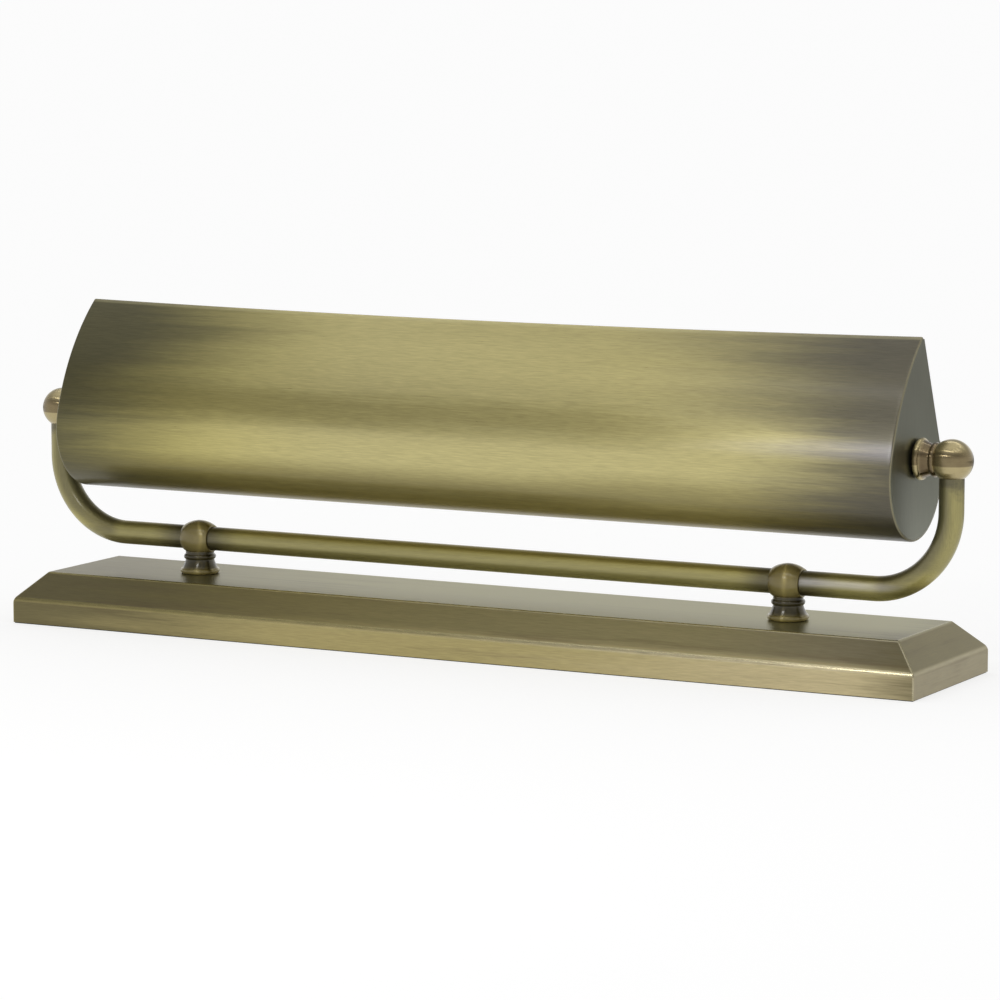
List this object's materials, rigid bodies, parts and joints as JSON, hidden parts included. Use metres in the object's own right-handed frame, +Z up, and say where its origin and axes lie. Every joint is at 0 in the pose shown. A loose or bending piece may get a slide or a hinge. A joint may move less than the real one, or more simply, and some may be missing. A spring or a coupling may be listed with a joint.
{
  "type": "mantel light",
  "caption": "Long low table lamp for a shelf: a brushed brass trough shade tilts between ball knobs on a bent tube yoke, which swings in ring posts on a weighted base.",
  "frame": {"origin": "middle of the felt's underside, on the table, midway between the posts", "axes": "+X along the lamp to the viewer's right, +Y to the open back of the shade, +Z up"},
  "size_m": [0.579, 0.1165, 0.1838],
  "materials": {
    "antique_brass": "brushed antique",
    "polished_brass": "satin polished",
    "brown_brass": "antique, lacquered",
    "steel": "zinc plated",
    "cap_metal": "rolled screw thread",
    "iron": "rough cast",
    "felt": "pressed felt",
    "nylon": "moulded black",
    "fibre": "pressed fibre",
    "porcelain": "glazed",
    "frosted_glass": "frosted inside",
    "wire_cover": "insulated wire"
  },
  "bodies": {
    "base": {"base_cover": "antique_brass", "bottom_plate": "steel", "felt_pad": "felt", "ballast_bar": "iron", "cover_pillars": "steel", "plate_screws": "steel", "ring_post_left": "brown_brass", "ring_post_right": "brown_brass", "post_washers": "steel", "post_nuts": "steel", "post_grub_screws": "steel", "cord_bushing": "nylon", "switch_body": "nylon", "switch_neck": "polished_brass", "switch_ring_nut": "polished_brass", "base_wiring": "wire_cover"},
    "yoke": {"yoke_tube": "antique_brass", "yoke_leads": "wire_cover", "ball_left": "polished_brass", "ball_right": "polished_brass", "pivot_nipples": "polished_brass", "friction_washers": "fibre", "spring_washers": "steel", "lock_nuts": "steel", "lamp_sockets": "porcelain", "screw_shells": "polished_brass", "centre_contacts": "polished_brass", "bulb_caps": "cap_metal", "bulb_glass": "frosted_glass"},
    "shade": {"shade_sheet": "antique_brass", "end_cap_left": "antique_brass", "end_cap_right": "antique_brass", "pivot_bushes": "polished_brass"},
    "switch": {"switch_shaft": "steel", "switch_knob": "polished_brass"}
  },
  "joints": [
    {"name": "yoke_swing", "type": "hinge", "parent": "base", "child": "yoke", "pos_m": [0, 0, 0.0494], "axis": [1, 0, 0], "range_deg": [-30, 30]},
    {"name": "shade_tilt", "type": "hinge", "parent": "yoke", "child": "shade", "pos_m": [0, 0, 0.12], "axis": [1, 0, 0], "range_deg": [-90, 90]},
    {"name": "switch_turn", "type": "hinge", "parent": "base", "child": "switch", "pos_m": [0.15, 0.052, 0.0073], "axis": [0, 1, 0], "range_deg": [0, 90]}
  ]
}
